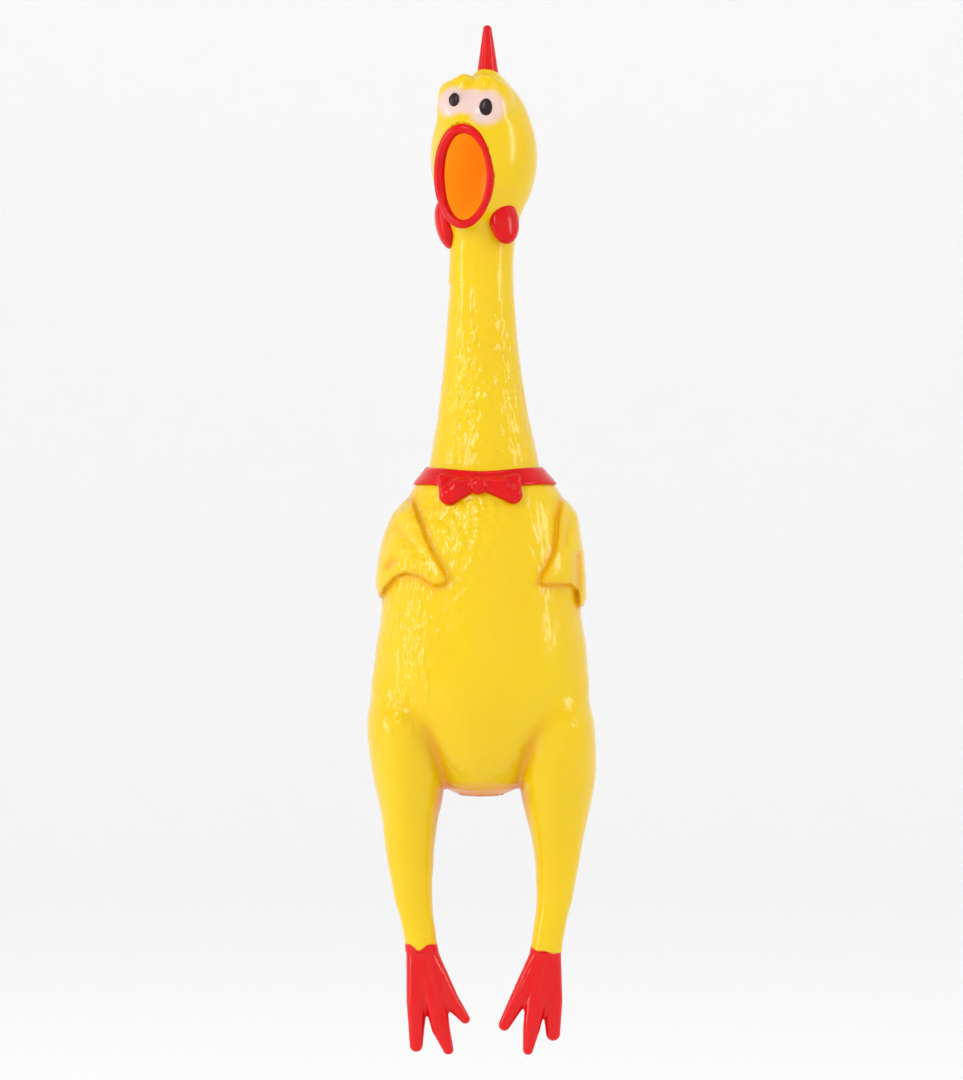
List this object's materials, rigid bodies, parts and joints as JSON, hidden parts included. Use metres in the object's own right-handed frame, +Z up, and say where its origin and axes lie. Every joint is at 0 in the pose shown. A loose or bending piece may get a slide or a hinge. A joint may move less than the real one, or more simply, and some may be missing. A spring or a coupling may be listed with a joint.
{
  "type": "squeaking rubber chicken",
  "caption": "Hollow soft vinyl chicken that squeaks through its open beak when the belly is squeezed, with floppy neck and legs",
  "frame": {"origin": "middle of the torso, where the hand closes round it", "axes": "+Z runs up from the feet to the comb, -Y faces out of the belly, and the left leg (+X) is on the right as the belly is seen"},
  "size_m": [0.0684, 0.0546, 0.3093],
  "materials": {
    "torso_skin": "gloss",
    "belly_panel": "gloss",
    "wing_left": "gloss",
    "wing_right": "gloss",
    "bow_band": "gloss",
    "bow_tie": "gloss",
    "neck_section_1": "gloss",
    "neck_section_2": "gloss",
    "neck_section_3": "gloss",
    "neck_crown": "gloss",
    "head_skin": "gloss",
    "eye_mask": "satin",
    "pupil_left": "gloss",
    "pupil_right": "gloss",
    "comb": "gloss",
    "beak_rim": "gloss",
    "mouth_cup": "satin",
    "wattle_left": "gloss",
    "wattle_right": "gloss",
    "sounder_barrel": "gloss",
    "reed_carrier": "gloss",
    "reed_clamp": "gloss",
    "reed": "satin",
    "sounder_cap": "gloss",
    "thigh_left": "gloss",
    "thigh_right": "gloss",
    "shank_left": "gloss",
    "shank_right": "gloss",
    "foot_left": "gloss",
    "foot_right": "gloss"
  },
  "bodies": {
    "torso": {"torso_skin": "torso_skin", "wing_left": "wing_left", "wing_right": "wing_right", "bow_band": "bow_band", "bow_tie": "bow_tie"},
    "belly": {"belly_panel": "belly_panel"},
    "neck_low": {"neck_section_1": "neck_section_1"},
    "neck_mid": {"neck_section_2": "neck_section_2"},
    "neck_high": {"neck_section_3": "neck_section_3"},
    "head": {"neck_crown": "neck_crown", "head_skin": "head_skin", "eye_mask": "eye_mask", "pupil_left": "pupil_left", "pupil_right": "pupil_right", "comb": "comb", "beak_rim": "beak_rim", "mouth_cup": "mouth_cup", "wattle_left": "wattle_left", "wattle_right": "wattle_right", "sounder_barrel": "sounder_barrel", "reed_carrier": "reed_carrier", "reed_clamp": "reed_clamp", "sounder_cap": "sounder_cap"},
    "reed": {"reed": "reed"},
    "thigh_left": {"thigh_left": "thigh_left"},
    "shank_left": {"shank_left": "shank_left"},
    "foot_left": {"foot_left": "foot_left"},
    "thigh_right": {"thigh_right": "thigh_right"},
    "shank_right": {"shank_right": "shank_right"},
    "foot_right": {"foot_right": "foot_right"}
  },
  "joints": [
    {"name": "neck_root_bend", "type": "hinge", "parent": "torso", "child": "neck_low", "pos_m": [0, 0, 0.05585], "axis": [1, 0, 0], "range_deg": [-18, 18], "stiffness_Nm_per_rad": 0.4},
    {"name": "neck_low_sway", "type": "hinge", "parent": "neck_low", "child": "neck_mid", "pos_m": [0, 0, 0.06792], "axis": [0, 1, 0], "range_deg": [-18, 18], "stiffness_Nm_per_rad": 0.35},
    {"name": "neck_high_bend", "type": "hinge", "parent": "neck_mid", "child": "neck_high", "pos_m": [0, 0, 0.07998], "axis": [1, 0, 0], "range_deg": [-18, 18], "stiffness_Nm_per_rad": 0.3},
    {"name": "head_sway", "type": "hinge", "parent": "neck_high", "child": "head", "pos_m": [0, 0, 0.09109], "axis": [0, 1, 0], "range_deg": [-18, 18], "stiffness_Nm_per_rad": 0.3},
    {"name": "hip_left", "type": "hinge", "parent": "torso", "child": "thigh_left", "pos_m": [0.02222, 0, -0.05898], "axis": [1, 0, 0], "range_deg": [-24, 24], "stiffness_Nm_per_rad": 0.1},
    {"name": "knee_left", "type": "hinge", "parent": "thigh_left", "child": "shank_left", "pos_m": [0.02192, 0, -0.07494], "axis": [0, -1, 0], "range_deg": [-2, 20], "stiffness_Nm_per_rad": 0.07},
    {"name": "ankle_left", "type": "hinge", "parent": "shank_left", "child": "foot_left", "pos_m": [0.0196, 0, -0.09295], "axis": [1, 0, 0], "range_deg": [-25, 25], "stiffness_Nm_per_rad": 0.05},
    {"name": "hip_right", "type": "hinge", "parent": "torso", "child": "thigh_right", "pos_m": [-0.02222, 0, -0.05898], "axis": [1, 0, 0], "range_deg": [-24, 24], "stiffness_Nm_per_rad": 0.1},
    {"name": "knee_right", "type": "hinge", "parent": "thigh_right", "child": "shank_right", "pos_m": [-0.02192, 0, -0.07494], "axis": [0, 1, 0], "range_deg": [-2, 20], "stiffness_Nm_per_rad": 0.07},
    {"name": "ankle_right", "type": "hinge", "parent": "shank_right", "child": "foot_right", "pos_m": [-0.0196, 0, -0.09295], "axis": [1, 0, 0], "range_deg": [-25, 25], "stiffness_Nm_per_rad": 0.05},
    {"name": "belly_squeeze", "type": "slide", "parent": "torso", "child": "belly", "axis": [0, 1, 0], "range_m": [0, 0.01], "stiffness_N_per_m": 300},
    {"name": "reed_beat", "type": "hinge", "parent": "head", "child": "reed", "pos_m": [-0.00088, -0.00032, 0.10244], "axis": [0.9113, -0.4067, -0.0637], "range_deg": [-3, 4], "stiffness_Nm_per_rad": 0.002}
  ]
}
